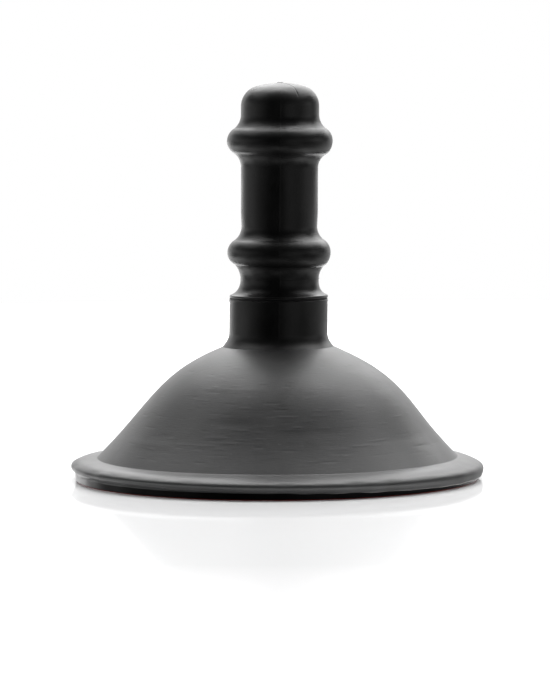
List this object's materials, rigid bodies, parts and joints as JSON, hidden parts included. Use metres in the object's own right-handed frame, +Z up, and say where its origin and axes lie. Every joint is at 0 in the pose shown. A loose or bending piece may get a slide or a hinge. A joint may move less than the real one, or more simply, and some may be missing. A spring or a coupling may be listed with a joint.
{
  "type": "sink plunger",
  "caption": "Short sink plunger: a flexible black rubber cup on a sealed foot ring, with a screw-on ribbed grip that stands on the cup's crown.",
  "frame": {"origin": "centre of the foot's resting face, on the cup's axis", "axes": "+Z up along the cup's and the grip's common axis; +X and +Y are free, as the outside is round"},
  "size_m": [0.12, 0.12, 0.1151],
  "materials": {
    "cup_rubber": "matte satin, faint tool marks",
    "foot_rubber": "satin",
    "red_rubber": "satin",
    "collar_plastic": "satin",
    "grip_plastic": "satin",
    "core_plastic": "matte",
    "washer_rubber": "matte",
    "steel": "zinc plated",
    "insert_brass": "machined"
  },
  "bodies": {
    "rim": {"cup": "cup_rubber", "foot_ring": "foot_rubber", "base_seal": "red_rubber"},
    "crown": {"collar": "collar_plastic", "stud": "steel", "backing_washer": "steel", "seal_washer": "washer_rubber", "crown_washer": "steel", "jam_nut": "steel"},
    "handle_seat": {"seat_washer": "washer_rubber"},
    "handle": {"grip": "grip_plastic", "grip_core": "core_plastic", "threaded_insert": "insert_brass"}
  },
  "joints": [
    {"name": "plunge", "type": "slide", "parent": "rim", "child": "crown", "axis": [0, 0, -1], "range_m": [0, 0.02], "stiffness_N_per_m": 1800, "springref_m": -0.001, "deforming": ["cup"]},
    {"name": "handle_lift", "type": "slide", "parent": "crown", "child": "handle_seat", "axis": [0, 0, 1], "range_m": [0, 0.0125]},
    {"name": "handle_unscrew", "type": "hinge", "parent": "handle_seat", "child": "handle", "pos_m": [0, 0, 0.0527], "axis": [0, 0, 1], "range_deg": [0, 3600]}
  ],
  "couplings": [
    {"joint": "handle_lift", "follows": "handle_unscrew", "m_per_rad": 0.00019894}
  ]
}
